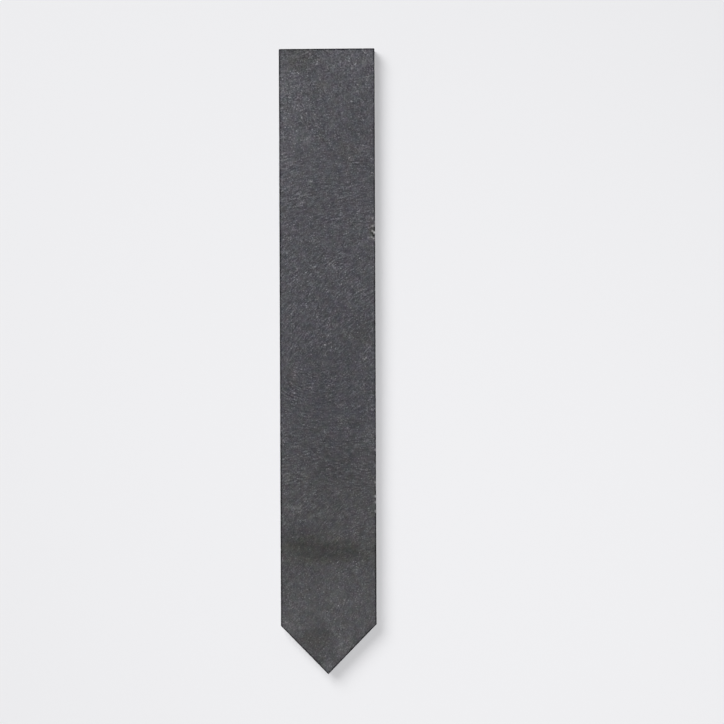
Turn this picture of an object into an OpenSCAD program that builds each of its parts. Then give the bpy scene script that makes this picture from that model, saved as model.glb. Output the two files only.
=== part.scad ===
// Plant label stake: one slab of natural slate, sawn to a long strip with a square
// top end and a cut point, for writing on and pushing into a pot or a bed.
// It lies on its back face, with the writing face up (+Z), the top end towards +Y
// and the point towards -Y. The origin is on the back face, in the middle of the
// slab's length and width. All sizes are in millimetres.

/* [Slab] */
// Length from the tip of the point to the top end
stake_length = 200; // [150:1:250]
// Width between the two long sawn sides
stake_width = 30.6; // [24:0.1:40]
// Thickness of the slate
slate_thickness = 5; // [3.5:0.1:7]

/* [Point] */
// Height of the left shoulder above the tip
left_shoulder = 15.5; // [8:0.1:30]
// Height of the right shoulder above the tip
right_shoulder = 15.9; // [8:0.1:30]
// How far the tip stands to the right of the middle line
tip_offset = -0.2; // [-1:0.1:1]

/* [Sawn edges] */
// How much lower the left top corner is than the right one
top_skew = 0.15; // [0:0.05:0.6]
// Mean width of the worn arris along the edges of both faces
arris = 0.3; // [0.1:0.05:0.5]

/* [Chips] */
// Length of the largest chip, on the right edge of the writing face
chip_length = 2.8; // [1.5:0.1:5]
// Depth of the largest chip, straight into the corner of the edge
chip_depth = 0.5; // [0.4:0.05:0.8]
// Small nicks along each long side of each face
nicks_per_side = 5; // [0:1:8]
// Seed that places the small nicks
nick_seed = 5; // [1:1:50]

/* [Hidden] */
slate_colour = [0.32, 0.32, 0.335];

top_y = stake_length / 2;
tip_y = -stake_length / 2;
side_x = stake_width / 2;

// The outline of both faces, clockwise from the top left corner as seen from the front.
top_left = [-side_x, top_y - top_skew];
top_right = [side_x, top_y];
shoulder_right = [side_x, tip_y + right_shoulder];
tip = [tip_offset, tip_y];
shoulder_left = [-side_x, tip_y + left_shoulder];
outline = [top_left, top_right, shoulder_right, tip, shoulder_left];

// How much wider or narrower than the mean the arris of each edge has worn, in the
// outline's order: top, right, right of the point, left of the point, left.
arris_wear = [1, 1.12, 0.9, 1.05, 0.94];

// How far the cutting bars run on past the ends of an edge.
cut_overrun = 1;

// A flake breaks off along a few flats: a bar with this many sides cuts the scar.
flake_sides = 11;

// Chips on the right edge of the writing face, each with its distance below the top
// end, its length and its depth: the largest, a smaller one above it, and a run of
// three flakes that follow each other lower down.
flake_depth = 1.2 * arris;
front_chips = [
    [60, chip_length, chip_depth],
    [56.3, 1.7, flake_depth],
    [137.5, 1.6, flake_depth],
    [140.3, 2.3, flake_depth],
    [143.2, 1.9, flake_depth]
];

// Least and greatest length and depth of the small nicks, and their room from a corner.
nick_length = [0.9, 1.9];
nick_depth = [0.9 * arris, 1.1 * arris];
nick_margin = 8;

// Height of the front face for up = +1, and of the back one for up = -1.
function face_z(up) = up > 0 ? slate_thickness : 0;

// A bevel of the given width along the edge from a to b. up is +1 on the front face
// and -1 on the back one.
module arris_cut(a, b, up, width) {
    run = b - a;
    bar = 4 * width;
    translate([a[0], a[1], face_z(up)])
        rotate([up * 45, 0, atan2(run[1], run[0])])
            translate([-cut_overrun, -width / sqrt(2), -bar / 2])
                cube([norm(run) + 2 * cut_overrun, bar, bar]);
}

// The scar of a flake that broke off a long edge, centred at y. right is +1 on the
// right side and -1 on the left one.
module chip_cut(right, up, y, length, depth) {
    bar = (length * length / 4 + depth * depth) / (2 * depth);
    stand_off = (bar - depth) / sqrt(2);
    translate([right * (side_x + stand_off), y, face_z(up) + up * stand_off])
        rotate([0, right * up * -45, 0])
            rotate([0, 0, y])
                cylinder(r = bar, h = 2 * bar, center = true, $fn = flake_sides);
}

// The small nicks along one long edge of one face.
module nicks(right, up, seed) {
    lowest = tip_y + max(left_shoulder, right_shoulder) + nick_margin;
    places = rands(lowest, top_y - nick_margin, nicks_per_side, seed);
    lengths = rands(nick_length[0], nick_length[1], nicks_per_side, seed + 1);
    depths = rands(nick_depth[0], nick_depth[1], nicks_per_side, seed + 2);
    for (i = [0 : 1 : nicks_per_side - 1])
        chip_cut(right, up, places[i], lengths[i], depths[i]);
}

// The sawn slab, with its worn arrises and chipped edges.
module slate_blade() {
    color(slate_colour)
        difference() {
            linear_extrude(height = slate_thickness) polygon(outline);
            for (i = [0 : len(outline) - 1], up = [-1, 1])
                arris_cut(outline[i], outline[(i + 1) % len(outline)], up, arris * arris_wear[i]);
            for (chip = front_chips)
                chip_cut(1, 1, top_y - chip[0], chip[1], chip[2]);
            for (right = [-1, 1], up = [-1, 1])
                nicks(right, up, nick_seed + 10 * right + 20 * up + 30);
        }
}

slate_blade();
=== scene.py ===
"""Plant label stake of dark slate, lying on a pale floor and seen from straight above.

The CAD solid gives the stake's size and place. One detailed mesh replaces it: a honed writing
face, a riven back, sawn sides, and arrises that are worn and chipped. Lengths in the code are
in millimetres until they reach Blender, which works in metres.
"""
import math
import random

import bpy
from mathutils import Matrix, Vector, geometry, noise


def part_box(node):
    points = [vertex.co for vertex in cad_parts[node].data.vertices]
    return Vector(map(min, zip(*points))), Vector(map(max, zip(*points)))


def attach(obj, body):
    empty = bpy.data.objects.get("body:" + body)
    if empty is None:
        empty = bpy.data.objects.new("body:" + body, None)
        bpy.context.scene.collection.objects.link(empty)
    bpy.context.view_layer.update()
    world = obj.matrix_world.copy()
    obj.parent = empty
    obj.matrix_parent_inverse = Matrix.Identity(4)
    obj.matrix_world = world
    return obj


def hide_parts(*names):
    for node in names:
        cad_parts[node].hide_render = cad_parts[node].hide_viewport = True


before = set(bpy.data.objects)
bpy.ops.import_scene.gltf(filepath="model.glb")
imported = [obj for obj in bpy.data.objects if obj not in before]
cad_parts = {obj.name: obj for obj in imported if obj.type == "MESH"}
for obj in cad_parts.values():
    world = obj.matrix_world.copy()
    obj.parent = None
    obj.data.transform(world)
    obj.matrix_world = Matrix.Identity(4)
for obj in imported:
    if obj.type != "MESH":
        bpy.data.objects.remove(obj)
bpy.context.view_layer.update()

MM = 0.001

# Size and place of the slab, from the CAD solid
low, high = (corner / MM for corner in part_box("slate_blade"))
SIDE = high.x
TOP = high.y
TIP = low.y
THICKNESS = high.z

# Shape of the sawn outline: height of the shoulders above the tip, how far the tip stands to
# the right of the middle, how much lower the left top corner is, and the corners' worn radius
LEFT_SHOULDER = 15.5
RIGHT_SHOULDER = 15.9
TIP_OFFSET = -0.2
TOP_SKEW = 0.15
CORNER_RADIUS = 0.22

# The right side's number in the outline's order: top, right, right of the point, left of the
# point, left
RIGHT_SIDE = 1

# Worn arrises: mean width, the share of it that comes and goes along an edge, the strength and
# the waves per millimetre of each part of that change, how round they are from 1 for a flat
# bevel upwards, and the seeds of the front's and the back's
ARRIS = 0.26
ARRIS_CHANGE = 0.55
ARRIS_WAVES = ((1.0, 0.9), (0.6, 2.7))
ARRIS_ROUNDNESS = 1.4
FRONT_SEED = 1.0
BACK_SEED = 9.0

# The dark rim of painted shade along the arrises: its width, and how dark it is on each side, in
# the outline's order; it is lighter on the right side, which the key lamp leaves in shade
RIM_WIDTH = 0.7
RIM_PAINTED_SHADE = (1.0, 0.75, 1.0, 1.0, 1.0)

# Relief of the honed face: the depth of the long swell and of the short ripple, and how many
# of their waves come to a millimetre
SWELL = 0.035
RIPPLE = 0.008
SWELL_WAVES = 0.035
RIPPLE_WAVES = 0.35

# Relief of the back: the thickness of the leaves that it split along, how many leaves deep it
# goes, by how many the split wanders up and down and by how many its edge is ragged, the share
# of a leaf that its broken edge takes up, and the height of the low ridges
LEAF_THICKNESS = 0.09
LEAVES_DEEP = 3.5
LEAF_CHANGE = 2.6
RAGGEDNESS = 0.25
BROKEN_EDGE = 0.14
RIDGE = 0.02

# Waves per millimetre of that relief, across the stake and along it
LEAF_WAVES = (0.06, 0.025)
RAGGED_WAVES = (0.5, 0.3)
RIDGE_WAVES = (0.7, 0.16)

# Relief of the sawn sides: the saw's marks, the strength and the waves per millimetre of each
# part of them, and how far they lean along the side for each millimetre of height; the hollows
# between leaves of the stone, and their waves per millimetre along the side and up it
SAW_MARK = 0.016
SAW_WAVES = ((1.0, 0.9), (0.5, 2.3))
SAW_LEAN = 0.5
LEAF_HOLLOW = 0.06
HOLLOW_WAVES = (0.04, 1.1)

# Chips on the right edge of the writing face: distance below the top end, length, depth
FRONT_CHIPS = [
    (60.0, 2.8, 0.50),
    (56.3, 1.7, 0.36),
    (137.5, 1.6, 0.34),
    (140.3, 2.3, 0.36),
    (143.2, 1.9, 0.34),
]

# Smaller flakes within each of those chips: how many, their length and how far they may lie
# from the chip's middle as shares of its length, and their depth as a share of its depth
FLAKES_PER_CHIP = 3
FLAKE_SIZE = (0.25, 0.5)
FLAKE_SPREAD = 0.6
FLAKE_DEPTH = 0.9

# Random nicks along all edges: how many on a side as long as the stake and on any side at
# least, their length and depth, and the shares of a side's length between which they lie
NICKS_PER_SIDE = 14
LEAST_NICKS = 3
NICK_LENGTH = (0.5, 1.7)
NICK_DEPTH = (0.20, 0.33)
NICK_RANGE = (0.04, 0.96)
CHIP_SEED = 4

# How deep into the stone a chip lays it wholly fresh
FRESH_DEPTH = 0.12

# Spacing of the mesh's points: along the outline, in from it, over the front and the back,
# from the outline to the grids of both, and down the sides
STATION_STEP = 0.3
RING_INSETS = (0.1, 0.21, 0.35, 0.6)
FRONT_PITCH = 0.45
BACK_PITCH = 0.55
GRID_INSET = 0.95
SIDE_STEP = 0.45

# By the corners, a ring's point is left out if it lies nearer to another side than this share
# of the ring's inset
RING_CLEARANCE = 0.97

# Finer points where the right edge of the writing face has crumbled: corners and spacing
CRUMBLED = ((12.7, 38.4), (14.6, 47.0))
CRUMBLED_PITCH = 0.2

# The mesh's three materials, by number
HONED, RIVEN, SAWN = 0, 1, 2

# The share of a spot's radius over which it fades
SPOT_FADE = 0.8

# Spots of the writing face: middle, radii, direction in degrees, and amount. Each list is
# stored on the mesh as one attribute, and the amounts of spots that overlap add up.
SPOTS = {
    # How much lighter or darker the stone is
    "tone": [
        ((0, 90), (24, 18), 0, 0.16),
        ((-16, 76), (10, 34), 0, 0.38),
        ((9, 98), (14, 8), 0, 0.28),
        ((-8, 97), (10, 7), 0, -0.09),
        ((9.5, 76), (4, 7), 0, -0.12),
        ((-7, 71.5), (6, 6), 0, 0.26),
        ((-7, 58), (7, 10), 0, 0.14),
        ((10.5, 63), (5, 4), 0, -0.18),
        ((-16, 30), (8, 50), 0, 0.12),
        ((12, 11), (6, 6), 0, -0.16),
        ((-11, -9), (5, 6), 0, -0.16),
        ((2, -18), (18, 50), 0, -0.20),
        ((14, -23), (4, 6), 0, 0.20),
        ((5, -34), (12, 8), 0, -0.12),
        ((-14, -47.5), (8, 3.5), 0, 0.26),
        ((-9, -55), (9, 5), 0, -0.32),
        ((-7, -59.5), (12, 6), 5, -0.21),
        ((0, -61), (16, 5), -4, -0.36),
        ((9, -60), (12, 5), -6, -0.19),
        # A dark line along the right edge near the point: more of the rim's painted shade
        ((15.3, -68), (0.8, 24), 0, -0.70),
        ((0, -78), (30, 14), 0, 0.24),
        ((-13, -85), (6, 6), 0, 0.40),
        ((-4, -87.5), (6, 4.5), 20, -0.34),
        ((-2, -84.5), (3.5, 2.5), 40, -0.24),
        ((5, -91), (4.5, 7), 0, 0.44),
        ((0, -98), (4, 4), 0, 0.46),
    ],
    # How much browner the stone is
    "brown": [
        ((-4, -60), (18, 7), 4, 0.75),
        ((9, -61), (13, 5), 0, 0.30),
        ((-9, 97), (9, 6), 0, 0.40),
        ((7, 67), (6, 4), 0, 0.35),
        ((-2, 88), (4, 3), 0, 0.30),
        ((6, 8), (4, 3), 0, 0.35),
        ((11.5, 8), (4, 6), 0, 0.40),
        ((-12, -5), (4, 7), 0, 0.35),
        ((-4, -89), (7, 5), 0, 0.35),
        ((14.5, 42), (2, 6), 0, 0.70),
    ],
    # Where the right edge has crumbled: bright grains, partly paler broken stone and partly painted
    #     # glints, and dark pits of painted shade
    "crumb_glints_and_pit_shade": [
        ((13.4, 46.3), (0.5, 0.4), 0, 1.6),
        ((14.5, 45.6), (0.7, 0.4), 60, 3.2),
        ((15.1, 44.4), (0.4, 0.9), 0, 2.0),
        ((14.5, 43.2), (0.8, 0.4), 10, 3.6),
        ((14.2, 42.6), (0.4, 0.4), 0, -1.0),
        ((14.4, 41.6), (0.5, 0.5), 0, 4.5),
        ((15.1, 41.1), (0.6, 0.6), 0, 10.0),
        ((14.5, 40.8), (0.4, 0.3), 0, -3.5),
        ((14.9, 40.1), (0.5, 0.4), 0, -7.0),
        ((14.2, 39.6), (0.6, 0.4), -30, 3.2),
        ((14.9, 39.2), (0.6, 0.4), 0, 6.0),
        ((13.1, 39.5), (0.5, 0.5), 0, 2.2),
        ((15.1, -28.3), (0.4, 0.7), 0, 3.0),
        ((15.1, -33.4), (0.4, 0.6), 0, 2.4),
        ((15.1, -38.7), (0.4, 0.6), 0, 4.5),
        ((15.0, -43.2), (0.4, 0.7), 0, 4.5),
        ((15.1, -45.0), (0.4, 0.6), 0, 4.5),
        ((15.1, -48.0), (0.4, 0.6), 0, 5.0),
    ],
    # Light scuffs
    "scuff": [
        ((-13.7, 92.7), (1.2, 0.8), 20, 0.8),
        ((-13.8, 87.5), (1.4, 0.7), 5, 0.7),
        ((-13.8, 86.0), (1.5, 0.8), 5, 0.9),
        ((-7.4, 83.5), (1.8, 1.2), -20, 0.7),
        ((-6.3, 70.0), (1.5, 0.9), 45, 0.9),
        ((-11.0, 60.3), (1.4, 0.8), 10, 0.7),
        ((-12.6, 56.0), (2.4, 0.8), 8, 0.6),
        ((-8.5, 50.3), (2.6, 0.7), 25, 0.9),
        ((12.3, 48.5), (1.0, 0.9), 45, 0.8),
        ((-1.0, 47.2), (3.4, 0.7), 0, 0.7),
        ((2.7, 42.8), (1.4, 0.7), 8, 0.8),
        ((0.0, 38.2), (3.2, 0.8), 8, 0.7),
        ((11.0, 37.4), (5.2, 1.0), 38, 0.7),
        ((-13.5, 35.0), (1.9, 0.7), 10, 0.9),
        ((-10.0, 31.8), (1.7, 0.7), 5, 0.9),
        ((-7.3, 26.7), (2.4, 0.7), 50, 0.6),
        ((-7.3, 12.9), (1.1, 1.0), 0, 0.7),
        ((-5.3, 6.0), (1.6, 0.8), 35, 0.8),
        ((-10.3, 7.0), (1.4, 1.0), 20, 0.6),
        ((4.3, 3.4), (1.7, 0.7), 30, 0.6),
        ((-0.5, -0.7), (1.8, 0.7), 70, 0.6),
        ((-7.0, -2.8), (2.8, 0.7), 18, 0.6),
        ((12.0, -25.8), (1.7, 0.9), 45, 0.9),
        ((9.0, -27.0), (1.5, 0.9), 45, 0.8),
        ((-12.7, -36.0), (2.0, 0.7), 8, 0.7),
        ((-12.8, -37.6), (1.8, 0.7), 5, 0.7),
        ((3.0, -42.2), (1.5, 0.7), 5, 0.8),
        ((-10.5, -46.6), (3.7, 0.9), -8, 0.7),
        ((-4.2, -49.1), (4.7, 0.8), 20, 0.8),
        ((-11.0, -70.2), (2.7, 0.7), 30, 0.6),
        ((-1.0, -82.2), (3.6, 1.0), -52, 0.6),
        ((1.9, -86.6), (2.8, 1.0), -58, 0.9),
        ((3.6, -90.2), (2.4, 1.0), -62, 0.7),
        ((-1.8, -96.8), (1.1, 0.9), 0, 0.7),
    ],
}

# Heights on the stake between which the writing face grows browner, between which its grain
# fades towards the point, and between which it fades towards the top end
BROWNER = (-14, -40)
FAINTER_DOWN = (-15, -70)
FAINTER_UP = (52, 68)

# Brush marks on the writing face: centre of the arcs, middle and radii of the area they cover
BRUSHED = [
    ((10, -60), (-4, 58), (26, 14)),
    ((31, -40), (0, 44), (30, 20)),
    ((64, -44), (0, 16), (34, 30)),
    ((-4, 4), (-4, -11), (18, 13)),
    ((8, -130), (0, -33), (30, 20)),
    ((60, -120), (0, -56), (30, 20)),
    ((-40, -60), (2, -84), (22, 12)),
]

# The camera hangs above the floor; its frame is FIELD wide at the height of the writing face
FIELD = 231.2
LENS = 100
SENSOR = 36
CAMERA_OFFSET = (10.92, -0.25)
CAMERA_ROLL = -0.219

# Colours: the slate's grey, what is added to it where the stone is bluest and where it is
# brownest, how far each channel strays from that, and the floor
SLATE_GREY = (0.0499, 0.0499, 0.0499)
BLUE_TINT = (0.0000, -0.0011, 0.0108, 1)
BROWN_TINT = (0.0017, 0.0010, 0.0009, 1)
TINT_CHANGE = 0.0185
FLOOR_TONE = (0.866, 0.866, 0.884, 1)

# Half the length of the floor's sides
FLOOR_HALF = 3000

# How far from the stake the camera begins to see the backdrop's tone in the floor, and sees
# nothing else
BACKDROP_START = 200
BACKDROP_END = 600

# Strength of the even light from all round
WORLD_LIGHT = 0.1


def make_camera():
    """A long lens straight above, with the stake a little to the left of the middle."""
    data = bpy.data.cameras.new("camera")
    data.lens = LENS
    data.sensor_width = SENSOR
    camera = bpy.data.objects.new("camera", data)
    height = THICKNESS + FIELD * LENS / SENSOR
    camera.location = Vector((*CAMERA_OFFSET, height)) * MM
    camera.rotation_euler = (0, 0, math.radians(CAMERA_ROLL))
    bpy.context.collection.objects.link(camera)
    bpy.context.scene.camera = camera


def outline_corners():
    """The slab's corners, clockwise from the top left as seen from the front."""
    return [
        Vector((-SIDE, TOP - TOP_SKEW)),
        Vector((SIDE, TOP)),
        Vector((SIDE, TIP + RIGHT_SHOULDER)),
        Vector((TIP_OFFSET, TIP)),
        Vector((-SIDE, TIP + LEFT_SHOULDER)),
    ]


def straight_sides(corners):
    """Each side's start, end and inward normal."""
    sides = []
    for i, start in enumerate(corners):
        end = corners[(i + 1) % len(corners)]
        along = (end - start).normalized()
        sides.append((start, end, Vector((along.y, -along.x))))
    return sides


def nearest_side(point, sides):
    """How far a point of the face lies in from the nearest side, and that side's number."""
    return min(((point - start).dot(inward), i) for i, (start, _, inward) in enumerate(sides))


def outline_stations(sides):
    """Points round the outline with their inward normals; the corners are worn round."""
    stations = []
    for i, (start, end, inward) in enumerate(sides):
        before = sides[i - 1][2]
        after = sides[(i + 1) % len(sides)][2]
        cut_start = CORNER_RADIUS * math.tan(before.angle(inward) / 2)
        cut_end = CORNER_RADIUS * math.tan(inward.angle(after) / 2)
        along = (end - start).normalized()
        run = (end - start).length - cut_start - cut_end
        steps = max(1, round(run / STATION_STEP))
        for k in range(steps + 1):
            stations.append((start + along * (cut_start + run * k / steps), inward))
        centre = end - along * cut_end + inward * CORNER_RADIUS
        turned = inward.lerp(after, 0.5).normalized()
        stations.append((centre - turned * CORNER_RADIUS, turned))
    return stations


def face_points(stations, sides, pitch):
    """Points of one face: rings along the outline, then a staggered grid inside them."""
    points = []
    for inset in RING_INSETS:
        for point, inward in stations:
            inner = point + inward * inset
            if nearest_side(inner, sides)[0] > inset * RING_CLEARANCE:
                points.append(inner)
    row = 0
    y = TIP
    while y < TOP:
        x = -SIDE + pitch / 2 * (row % 2)
        while x < SIDE:
            if nearest_side(Vector((x, y)), sides)[0] > GRID_INSET:
                points.append(Vector((x, y)))
            x += pitch
        y += pitch * math.sqrt(3) / 2
        row += 1
    return points


def crumbled_points():
    """A fine square grid over the crumbled stretch."""
    (left, bottom), (right, top) = CRUMBLED
    columns = round((right - left) / CRUMBLED_PITCH)
    rows = round((top - bottom) / CRUMBLED_PITCH)
    return [Vector((left + column * CRUMBLED_PITCH, bottom + row * CRUMBLED_PITCH))
            for row in range(rows + 1) for column in range(columns + 1)]


def face_mesh(stations, inner):
    """A face's plan: its points, the outline's first and in order, and its triangles."""
    rim = [point for point, _ in stations]
    points = rim + inner
    loop = list(reversed(range(len(rim))))
    inside_only, tolerance = 1, 1e-4
    plan = geometry.delaunay_2d_cdt(points, [], [loop], inside_only, tolerance)
    _, _, triangles, origins, _, _ = plan
    number = {index: sources[0] for index, sources in enumerate(origins)}
    triangles = [[number[index] for index in triangle] for triangle in triangles]
    return points, triangles


def spot_cover(point, centre, radii, turn):
    """1 in the middle of an oval spot, falling softly to 0 at its rim."""
    across, along = point.x - centre[0], point.y - centre[1]
    if max(abs(across), abs(along)) > max(radii):
        return 0.0
    cos, sin = math.cos(math.radians(turn)), math.sin(math.radians(turn))
    reach = math.hypot((across * cos + along * sin) / radii[0],
                       (along * cos - across * sin) / radii[1])
    share = min(1.0, max(0.0, 1 - reach) / SPOT_FADE)
    return share * share * (3 - 2 * share)


def spot_sum(point, spots):
    """What the spots of one list add up to at a point of the writing face."""
    return sum(amount * spot_cover(point, centre, radii, turn)
               for centre, radii, turn, amount in spots)


def arris_width(point, seed):
    """Width of the worn arris near a point of the outline."""
    place = Vector((point.x, point.y, seed))
    change = sum(strength * noise.noise(place * waves) for strength, waves in ARRIS_WAVES)
    return ARRIS * (1 + ARRIS_CHANGE * change)


def arris_drop(point, inset, seed):
    """How far a face falls away close to its outline."""
    width = arris_width(point, seed)
    share = max(0.0, 1 - inset / width)
    return width * share ** ARRIS_ROUNDNESS


def noise_place(point, waves, layer):
    """Where a layer of noise is read for a point of a face. waves says how many come to a
    millimetre across the stake and along it."""
    across, along = waves
    return Vector((point.x * across, point.y * along, layer))


def front_height(point):
    """The honed writing face: nearly flat, with the faint swell that honing leaves."""
    place = Vector((point.x, point.y, 3.0))
    swell = max(-1, min(1, noise.fractal(place * SWELL_WAVES, 1.0, 2.0, 3)))
    ripple = noise.noise(place * RIPPLE_WAVES)
    return THICKNESS - SWELL * (1 + swell) / 2 - RIPPLE * (1 + ripple)


def back_height(point):
    """The riven back: a few thin leaves of slate broke off along wandering, ragged lines."""
    split = noise.fractal(noise_place(point, LEAF_WAVES, 11.0), 1.0, 2.0, 5)
    ragged = noise.noise(noise_place(point, RAGGED_WAVES, 17.0))
    level = LEAF_CHANGE * (1 + split) + RAGGEDNESS * ragged
    edge = min(1, (level - math.floor(level)) / BROKEN_EDGE)
    leaves = math.floor(level) + edge * edge * (3 - 2 * edge)
    ridges = noise.noise(noise_place(point, RIDGE_WAVES, 5.0))
    return RIDGE * (1 + ridges) + LEAF_THICKNESS * max(0, LEAVES_DEEP - leaves)


def side_hollow(along, height):
    """How far a sawn side lies in from its true plane: slanting saw marks and cleavage."""
    slant = along + SAW_LEAN * height
    saw = sum(strength * noise.noise(Vector((slant * waves, 7 * layer, 0)))
              for layer, (strength, waves) in enumerate(SAW_WAVES))
    lengthwise, upright = HOLLOW_WAVES
    leaves = noise.noise(Vector((along * lengthwise, height * upright, 21)))
    return SAW_MARK * (1.5 + saw) + LEAF_HOLLOW * max(0, leaves)


def chip_ball(point, inward, up, length, depth):
    """Centre and radius of the ball that scoops one chip out of an edge. up is 1 for an edge
    of the front and -1 for one of the back."""
    radius = (length * length / 4 + depth * depth) / (2 * depth)
    out = Vector((-inward.x, -inward.y, up)).normalized()
    edge = Vector((point.x, point.y, THICKNESS if up > 0 else 0))
    return edge + out * (radius - depth), radius


def chip_balls(sides):
    """All the chips: the large ones at their places, and small nicks at random."""
    balls = []
    _, _, inward = sides[RIGHT_SIDE]
    dice = random.Random(CHIP_SEED)
    for below, length, depth in FRONT_CHIPS:
        balls.append(chip_ball(Vector((SIDE, TOP - below)), inward, 1, length, depth))
        for _ in range(FLAKES_PER_CHIP):
            shift = dice.uniform(-FLAKE_SPREAD, FLAKE_SPREAD) * length
            size = dice.uniform(*FLAKE_SIZE) * length
            point = Vector((SIDE, TOP - below + shift))
            balls.append(chip_ball(point, inward, 1, size, FLAKE_DEPTH * depth))
    for start, end, inward in sides:
        nicks = max(LEAST_NICKS, round(NICKS_PER_SIDE * (end - start).length / (TOP - TIP)))
        for up in (1, -1):
            for _ in range(nicks):
                point = start.lerp(end, dice.uniform(*NICK_RANGE))
                length = dice.uniform(*NICK_LENGTH)
                depth = dice.uniform(*NICK_DEPTH)
                balls.append(chip_ball(point, inward, up, length, depth))
    return balls


def carve(points, balls):
    """Pushes the points inside a ball out to its surface. Returns how fresh each point is."""
    fresh = [0.0] * len(points)
    for centre, radius in balls:
        for i, point in enumerate(points):
            if abs(point.y - centre.y) > radius or abs(point.x - centre.x) > radius:
                continue
            gap = radius - (point - centre).length
            if gap > 0:
                points[i] = centre + (point - centre).normalized() * radius
                fresh[i] = min(1, fresh[i] + gap / FRESH_DEPTH)
    return fresh


class Slab:
    """The slab's mesh while it is built: its points with their share of the dark rim of painted
    shade, and its faces with their materials."""

    def __init__(self):
        self.sides = straight_sides(outline_corners())
        self.stations = outline_stations(self.sides)
        self.points = []
        self.rim = []
        self.faces = []
        self.materials = []

    def add_face(self, inner, up, height, seed, material):
        """Adds the front or the back, whose first points are the outline's, one at each
        station. Returns the number of the first one."""
        plan, triangles = face_mesh(self.stations, inner)
        first = len(self.points)
        for i, spot in enumerate(plan):
            inset, side = nearest_side(spot, self.sides)
            inset = inset if i >= len(self.stations) else 0.0
            drop = arris_drop(spot, inset, seed) if inset < 1 else 0.0
            self.points.append(Vector((spot.x, spot.y, height(spot) - up * drop)))
            # The rim's share is painted shade, darkening the stone along the outline
            self.rim.append(RIM_PAINTED_SHADE[side] * max(0.0, 1 - inset / RIM_WIDTH))
        for triangle in triangles:
            corners = triangle if up > 0 else reversed(triangle)
            self.faces.append([first + index for index in corners])
            self.materials.append(material)
        return first

    def add_rings(self, front, back):
        """Adds rings of points between the outlines of the two faces, and returns them all."""
        count = len(self.stations)
        levels = round(THICKNESS / SIDE_STEP)
        upper = range(front, front + count)
        lower = range(back, back + count)
        rings = [upper]
        for level in range(1, levels):
            rings.append(range(len(self.points), len(self.points) + count))
            for above, below in zip(upper, lower):
                self.points.append(self.points[above].lerp(self.points[below], level / levels))
                self.rim.append(0.0)
        return rings + [lower]

    def hollow_ring(self, ring):
        """Moves a ring's points in from the true planes of the sides."""
        travelled = 0.0
        for i, index in enumerate(ring):
            spot, inward = self.stations[i]
            travelled += (spot - self.stations[i - 1][0]).length
            hollow = side_hollow(travelled, self.points[index].z)
            self.points[index].x += inward.x * hollow
            self.points[index].y += inward.y * hollow

    def join_rings(self, upper, lower):
        """Closes the sawn sides between two rings."""
        count = len(upper)
        for i in range(count):
            j = (i + 1) % count
            self.faces.append([upper[i], upper[j], lower[j], lower[i]])
            self.materials.append(SAWN)

    def make_object(self, layers):
        """The finished mesh as a Blender object, with its layers as attributes."""
        mesh = bpy.data.meshes.new("slate_slab")
        mesh.from_pydata([point * MM for point in self.points], [], self.faces)
        for name, values in layers.items():
            mesh.attributes.new(name, "FLOAT", "POINT").data.foreach_set("value", values)
        mesh.polygons.foreach_set("material_index", self.materials)
        mesh.shade_smooth()
        mesh.update()
        slab = bpy.data.objects.new("slate_slab", mesh)
        bpy.context.collection.objects.link(slab)
        return slab


def build_slab():
    """The whole slab as one closed mesh: the two faces and the band of sawn sides."""
    slab = Slab()
    inner = face_points(slab.stations, slab.sides, FRONT_PITCH) + crumbled_points()
    front = slab.add_face(inner, up=1, height=front_height, seed=FRONT_SEED, material=HONED)
    inner = face_points(slab.stations, slab.sides, BACK_PITCH)
    back = slab.add_face(inner, up=-1, height=back_height, seed=BACK_SEED, material=RIVEN)
    rings = slab.add_rings(front, back)
    for ring in rings:
        slab.hollow_ring(ring)
    for upper, lower in zip(rings, rings[1:]):
        slab.join_rings(upper, lower)
    layers = {"arris": slab.rim, "fresh": carve(slab.points, chip_balls(slab.sides))}
    for name, spots in SPOTS.items():
        values = [spot_sum(point, spots) for point in slab.points[:back]]
        layers[name] = values + [0.0] * (len(slab.points) - back)
    return slab.make_object(layers)


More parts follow.
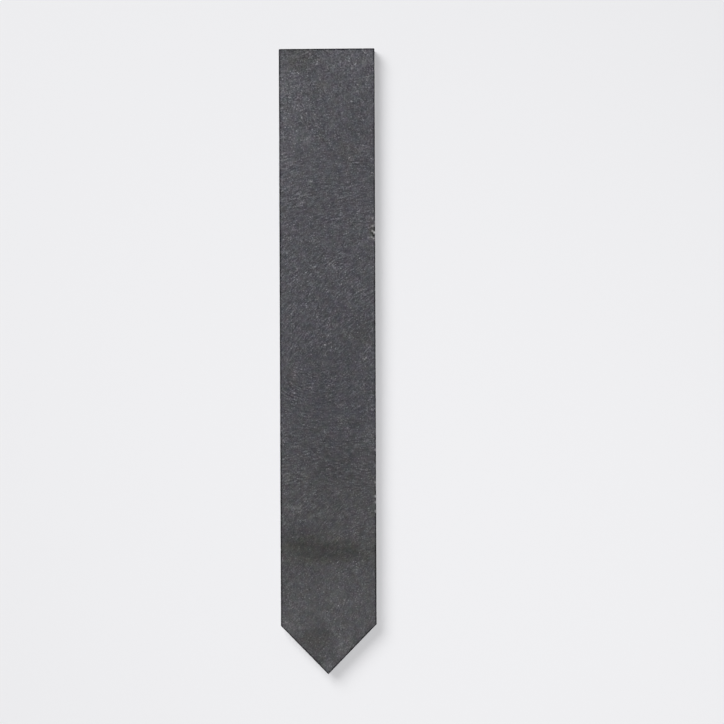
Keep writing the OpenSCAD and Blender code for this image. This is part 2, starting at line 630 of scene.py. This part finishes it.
class Surface:
    """A material. Its nodes read the object's own coordinates, in millimetres."""

    def __init__(self, name):
        self.material = bpy.data.materials.new(name)
        self.material.use_nodes = True
        self.tree = self.material.node_tree
        self.shader = self.tree.nodes["Principled BSDF"]
        metres = self.add("ShaderNodeTexCoord").outputs["Object"]
        self.place = self.scale(metres, 1 / MM)

    def add(self, kind, inputs=None, **settings):
        """A new node, with its settings, and its inputs linked or set."""
        node = self.tree.nodes.new(kind)
        for name, value in settings.items():
            setattr(node, name, value)
        for name, value in (inputs or {}).items():
            if isinstance(value, bpy.types.NodeSocket):
                self.tree.links.new(value, node.inputs[name])
            else:
                node.inputs[name].default_value = value
        return node

    def feed(self, name, value):
        """Links a worked-out value to one of the shader's inputs."""
        self.tree.links.new(value, self.shader.inputs[name])

    def attribute(self, name):
        """A value that the mesh stores at each point."""
        return self.add("ShaderNodeAttribute", attribute_name=name).outputs["Fac"]

    def math(self, operation, *values):
        """A number worked out from numbers."""
        return self.add("ShaderNodeMath", dict(enumerate(values)), operation=operation).outputs[0]

    def vector(self, operation, *values):
        """A vector worked out from vectors."""
        inputs = dict(enumerate(values))
        return self.add("ShaderNodeVectorMath", inputs, operation=operation).outputs["Vector"]

    def measure(self, operation, *values):
        """A number worked out from vectors."""
        inputs = dict(enumerate(values))
        return self.add("ShaderNodeVectorMath", inputs, operation=operation).outputs["Value"]

    def scale(self, vector, factor):
        """A vector times a number."""
        inputs = {0: vector, "Scale": factor}
        return self.add("ShaderNodeVectorMath", inputs, operation="SCALE").outputs["Vector"]

    def split(self, vector):
        """A vector's X, Y and Z."""
        return self.add("ShaderNodeSeparateXYZ", {0: vector}).outputs

    def combine(self, x, y, z=0.0):
        """A vector from its X, Y and Z."""
        return self.add("ShaderNodeCombineXYZ", {"X": x, "Y": y, "Z": z}).outputs[0]

    def noise(self, place, scale, detail=2.0, roughness=0.5, output="Fac"):
        """Smooth noise, mostly between 0.3 and 0.7; its scale is about its features per mm."""
        inputs = {"Vector": place, "Scale": scale, "Detail": detail, "Roughness": roughness}
        return self.add("ShaderNodeTexNoise", inputs).outputs[output]

    def remap(self, value, start, end, low=0.0, high=1.0, smooth=False):
        """A value that runs from low to high while another runs from start to end."""
        inputs = {"Value": value, "From Min": start, "From Max": end, "To Min": low, "To Max": high}
        kind = "SMOOTHSTEP" if smooth else "LINEAR"
        node = self.add("ShaderNodeMapRange", inputs, interpolation_type=kind)
        return node.outputs["Result"]

    def spread(self, value, low, high):
        """Noise brought to a range of its own."""
        return self.remap(value, 0.3, 0.7, low, high)

    def mix(self, share, start, end):
        """A number between two others."""
        inputs = {"Factor": share, "A": start, "B": end}
        return self.add("ShaderNodeMix", inputs, data_type="FLOAT").outputs["Result"]

    def mix_colours(self, share, start, end):
        """A colour between two others, which are inputs 6 and 7 of the node."""
        inputs = {0: share, 6: start, 7: end}
        return self.add("ShaderNodeMix", inputs, data_type="RGBA").outputs[2]

    def slate_colour(self, brownness, tone):
        """The stone's colour. The tone scales its grey, and its tint less than that."""
        cloud = self.noise(self.place, 0.4, 3.0, 0.7, output="Color")
        mean = self.measure("DOT_PRODUCT", cloud, (1 / 3, 1 / 3, 1 / 3))
        stray = self.scale(self.vector("SUBTRACT", cloud, mean), TINT_CHANGE)
        tint = self.vector("ADD", self.mix_colours(brownness, BLUE_TINT, BROWN_TINT), stray)
        tint = self.scale(tint, self.math("SQRT", tone))
        self.feed("Base Color", self.vector("ADD", self.scale(SLATE_GREY, tone), tint))

    def bump(self, height, depth):
        """Relief of the given depth in millimetres."""
        inputs = {"Height": height, "Distance": depth * MM, "Strength": 1.0}
        self.feed("Normal", self.add("ShaderNodeBump", inputs).outputs[0])

    def patch(self, centre, radii, core):
        """1 inside an oval of the face, falling softly to 0 at its rim."""
        offset = self.vector("SUBTRACT", self.place, (*centre, 0))
        reach = self.vector("MULTIPLY", offset, (1 / radii[0], 1 / radii[1], 0))
        return self.remap(self.measure("LENGTH", reach), 1.0, core, smooth=True)

    def arcs(self, centre, region, across, along, seed):
        """Noise drawn out along circles round a centre, at its true scale near the region."""
        offset = self.vector("SUBTRACT", self.place, (*centre, 0))
        flat = self.vector("MULTIPLY", offset, (1, 1, 0))
        ends = self.split(flat)
        angle = self.math("ARCTAN2", ends["Y"], ends["X"])
        u = self.math("MULTIPLY", self.measure("LENGTH", flat), across)
        v = self.math("MULTIPLY", angle, math.dist(centre, region) * along)
        return self.noise(self.combine(u, v, seed), 1.0, 2.0, 0.6)


def brushed_grain(stone):
    """Fine marks of a rotary brush: short arcs in changing directions, over a plain grain."""
    grain = stone.noise(stone.place, 2.2, 2.0, 0.6)
    wander = stone.remap(stone.noise(stone.place, 0.15), 0.35, 0.55, 0.65, 1.0)
    marks = stone.noise(stone.place, 1.7, 2.0, 0.6)
    for number, (centre, region, radii) in enumerate(BRUSHED):
        arcs = stone.arcs(centre, region, across=1.9, along=0.5, seed=3.0 * number)
        cover = stone.math("MULTIPLY", stone.patch(region, radii, core=0.6), wander)
        marks = stone.mix(cover, marks, arcs)
    return stone.math("SUBTRACT", stone.math("ADD", grain, marks), 1.0)


def grain_texture(stone, grain, height):
    """What the grain multiplies the honed face's tone by. The grain is fainter by the point
    and by the top end, and its strength differs from place to place."""
    strength = stone.spread(stone.noise(stone.place, 0.28, 1.0), 0.66, 1.34)
    for fading in (stone.remap(height, *FAINTER_DOWN, 5.2, 3.25),
                   stone.remap(height, *FAINTER_UP, 1.0, 0.83)):
        strength = stone.math("MULTIPLY", strength, fading)
    return stone.math("POWER", 2.0, stone.math("MULTIPLY", grain, strength))


def cloudy_tone_and_painted_light(stone, height):
    """How light the honed face is at each place, apart from its grain: about 1, with painted
    light that makes it lighter towards the top end and darker towards the point."""
    cloud = stone.noise(stone.place, 0.16, 3.0, 0.6)
    mottle = stone.noise(stone.place, 0.42, 3.0, 0.65)
    tone = stone.math("ADD", stone.spread(cloud, 0.88, 1.10), stone.spread(mottle, -0.22, 0.22))
    tone = stone.math("ADD", tone, stone.attribute("tone"))
    # Painted light: lighter towards the top end and darker towards the point, where the key lamp's
    # light falls off
    return stone.math("MULTIPLY", tone, stone.remap(height, TOP, TIP, 1.05, 0.875))


def painted_rim_shade(stone, rim):
    """What the dark rim of painted shade multiplies the honed face's tone by: an uneven line
    along the outline."""
    uneven = stone.spread(stone.noise(stone.place, 0.9), -0.28, 0.28)
    return stone.remap(stone.math("ADD", rim, uneven), 0.15, 0.65, 1.0, 0.18)


def brownness(stone, height):
    """How far the honed face's tint lies from the blue one towards the brown one: further
    low on the stake and in the brown spots."""
    lower = stone.remap(height, *BROWNER, 0.24, 0.62)
    return stone.math("ADD", lower, stone.attribute("brown"))


def honed_face():
    """The writing face: charcoal stone with brush marks, cloudy tone and a rim of painted shade."""
    stone = Surface("honed_slate")
    height = stone.split(stone.place)["Y"]
    grain = brushed_grain(stone)
    rim = stone.attribute("arris")
    # Bright specks: painted glints of mica
    painted_mica_glints = stone.remap(stone.noise(stone.place, 2.9, 0.0), 0.70, 0.82, 1.0, 2.7)
    tone = cloudy_tone_and_painted_light(stone, height)
    # The factors: grain, painted glints of mica, and the rim's painted shade
    for factor in (grain_texture(stone, grain, height), painted_mica_glints, painted_rim_shade(stone, rim)):
        tone = stone.math("MULTIPLY", tone, factor)
    # In the chips: paler fresh broken stone, with painted glints on its facets
    facets_and_glints = stone.remap(stone.noise(stone.place, 1.9, 1.0), 0.36, 0.64, 0.3, 4.2)
    tone = stone.mix(stone.attribute("fresh"), tone, facets_and_glints)
    broken = stone.remap(stone.noise(stone.place, 1.3, 2.0, 0.6), 0.35, 0.65, 0.1, 1.0)
    scuffs = stone.math("MULTIPLY", stone.attribute("scuff"), broken)
    # Scuffs, then the crumbled edge: bright grains partly painted glints, dark pits painted shade
    tone = stone.math("ADD", stone.math("ADD", tone, scuffs), stone.attribute("crumb_glints_and_pit_shade"))
    stone.slate_colour(brownness(stone, height), stone.math("MAXIMUM", tone, 0.05))
    stone.bump(grain, 0.03)
    stone.feed("Roughness", stone.remap(rim, 0.2, 0.5, 0.65, 1.0))
    stone.shader.inputs["Specular IOR Level"].default_value = 0.25
    return stone.material


def riven_back():
    """The back: split stone in thin leaves with ragged broken edges, streaked along the grain."""
    stone = Surface("riven_slate")
    streaks = stone.noise(stone.vector("MULTIPLY", stone.place, (1.6, 0.45, 1.6)), 1.0, 3.0, 0.65)
    grain = stone.noise(stone.place, 2.4, 2.0, 0.6)
    cloud = stone.noise(stone.place, 0.09, 4.0, 0.6)
    long_leaves = stone.vector("MULTIPLY", stone.place, (0.10, 0.035, 0.0))
    level = stone.math("MULTIPLY", stone.noise(long_leaves, 1.0, 5.0), 7.0)
    leaf = stone.math("FLOOR", level)
    share = stone.math("FRACT", level)
    rise = stone.math("ADD", leaf, stone.remap(share, 0.0, 0.08, smooth=True))
    # Paler along each leaf's broken edge: partly fresh stone, partly a painted highlight where the
    # edge catches the light
    broken = stone.math("MULTIPLY", stone.remap(share, 0.10, 0.04), stone.remap(grain, 0.4, 0.6))
    own_tone = stone.math("FRACT", stone.math("MULTIPLY", leaf, 0.37))
    tone = stone.spread(cloud, 0.80, 1.20)
    tone = stone.math("ADD", tone, stone.remap(own_tone, 0.0, 1.0, -0.16, 0.16))
    tone = stone.math("ADD", tone, stone.spread(streaks, -0.35, 0.35))
    tone = stone.math("ADD", tone, stone.spread(grain, -0.25, 0.25))
    tone = stone.math("ADD", tone, stone.math("MULTIPLY", broken, 0.6))
    # Painted shade: darker along the back's outline
    tone = stone.math("MULTIPLY", tone, stone.remap(stone.attribute("arris"), 0.2, 0.7, 1.0, 0.7))
    tone = stone.math("MULTIPLY", tone, stone.remap(stone.attribute("fresh"), 0.1, 0.8, 1.0, 1.8))
    stone.slate_colour(stone.remap(cloud, 0.4, 0.6), tone)
    relief = stone.math("ADD", streaks, stone.math("MULTIPLY", grain, 0.4))
    stone.bump(stone.math("SUBTRACT", relief, rise), 0.11)
    stone.feed("Roughness", stone.spread(streaks, 0.45, 0.75))
    return stone.material


def sawn_side():
    """The sides: dusty sawn stone, with its thin leaves lengthwise and faint slanting saw marks."""
    stone = Surface("sawn_slate")
    ends = stone.split(stone.place)
    height = ends["Z"]
    along = stone.math("ADD", ends["X"], ends["Y"])
    sway = stone.math("MULTIPLY", stone.noise(stone.place, 0.25), 1.6)
    layer = stone.math("MULTIPLY", stone.math("ADD", height, sway), 2.4)
    lengthwise = stone.combine(stone.math("MULTIPLY", along, 0.10), layer)
    leaves = stone.noise(lengthwise, 1.0, 4.0, 0.7)
    slant = stone.math("ADD", along, stone.math("MULTIPLY", height, SAW_LEAN))
    upright = stone.combine(slant, stone.math("MULTIPLY", height, 0.12))
    saw_marks = stone.noise(upright, 1.0, 3.0, 0.6)
    grain = stone.noise(stone.place, 2.6, 2.0, 0.6)
    dust = stone.noise(stone.place, 0.45, 3.0, 0.6)
    tone = stone.spread(leaves, 1.0, 1.9)
    tone = stone.math("ADD", tone, stone.remap(dust, 0.35, 0.65, -0.3, 0.4))
    tone = stone.math("ADD", tone, stone.spread(saw_marks, -0.14, 0.14))
    tone = stone.math("ADD", tone, stone.spread(grain, -0.55, 0.55))
    # Painted shade: darker along the sides' edges
    tone = stone.math("MULTIPLY", tone, stone.remap(stone.attribute("arris"), 0.2, 1.0, 1.0, 0.6))
    tone = stone.math("MULTIPLY", tone, stone.remap(stone.attribute("fresh"), 0.1, 0.8, 1.0, 1.5))
    stone.slate_colour(stone.remap(leaves, 0.35, 0.7), stone.math("MAXIMUM", tone, 0.2))
    relief = stone.math("ADD", leaves, stone.math("MULTIPLY", saw_marks, 0.5))
    stone.bump(stone.math("ADD", relief, stone.math("MULTIPLY", grain, 0.5)), 0.12)
    stone.shader.inputs["Roughness"].default_value = 0.8
    return stone.material


def pale_floor():
    """A plain pale floor. Far from the stake the camera sees the backdrop's tone in it."""
    floor = Surface("pale_floor")
    floor.shader.inputs["Base Color"].default_value = FLOOR_TONE
    floor.shader.inputs["Roughness"].default_value = 1.0
    floor.shader.inputs["Specular IOR Level"].default_value = 0.0
    distance = floor.measure("LENGTH", floor.place)
    far = floor.remap(distance, BACKDROP_START, BACKDROP_END, smooth=True)
    seen = floor.add("ShaderNodeLightPath").outputs["Is Camera Ray"]
    backdrop = floor.add("ShaderNodeEmission", {"Color": FLOOR_TONE}).outputs[0]
    inputs = {0: floor.math("MULTIPLY", far, seen), 1: floor.shader.outputs[0], 2: backdrop}
    blend = floor.add("ShaderNodeMixShader", inputs)
    floor.tree.links.new(blend.outputs[0], floor.tree.nodes["Material Output"].inputs["Surface"])
    return floor.material


def make_floor():
    """The floor under the stake."""
    corners = [(x * FLOOR_HALF, y * FLOOR_HALF, 0) for x, y in ((-1, -1), (1, -1), (1, 1), (-1, 1))]
    mesh = bpy.data.meshes.new("floor")
    mesh.from_pydata([Vector(corner) * MM for corner in corners], [], [(0, 1, 2, 3)])
    mesh.materials.append(pale_floor())
    floor = bpy.data.objects.new("floor", mesh)
    bpy.context.collection.objects.link(floor)


def make_world():
    """Even light from all round. The camera and reflections see the same pale backdrop."""
    world = bpy.data.worlds.new("studio")
    bpy.context.scene.world = world
    world.use_nodes = True
    tree = world.node_tree
    background = tree.nodes["Background"]
    background.inputs["Color"].default_value = (1.0, 1.0, 1.0, 1)
    rays = tree.nodes.new("ShaderNodeLightPath")
    seen = tree.nodes.new("ShaderNodeMath")
    seen.operation = "MAXIMUM"
    tree.links.new(rays.outputs["Is Camera Ray"], seen.inputs[0])
    tree.links.new(rays.outputs["Is Glossy Ray"], seen.inputs[1])
    strength = tree.nodes.new("ShaderNodeMapRange")
    strength.inputs["To Min"].default_value = WORLD_LIGHT
    strength.inputs["To Max"].default_value = FLOOR_TONE[0]
    tree.links.new(seen.outputs[0], strength.inputs["Value"])
    tree.links.new(strength.outputs["Result"], background.inputs["Strength"])


def make_lamp(name, place, aim, width, energy):
    """A round soft lamp at a place, aimed at a point of the floor."""
    data = bpy.data.lights.new(name, "AREA")
    data.shape = "DISK"
    data.size = width * MM
    data.energy = energy
    lamp = bpy.data.objects.new(name, data)
    lamp.location = Vector(place) * MM
    lamp.rotation_euler = (Vector(aim) - Vector(place)).to_track_quat("-Z", "Y").to_euler()
    bpy.context.collection.objects.link(lamp)


bpy.context.scene.view_settings.view_transform = "Standard"
make_camera()
make_floor()
make_world()
make_lamp("key", place=(-500, 610, 805), aim=(130, -95, 0), width=750, energy=7.85)
make_lamp("overhead", place=(35, 0, 925), aim=(665, -965, 0), width=50, energy=7.0)

slab = build_slab()
for material in (honed_face(), riven_back(), sawn_side()):
    slab.data.materials.append(material)
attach(slab, "root")
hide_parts("slate_blade")
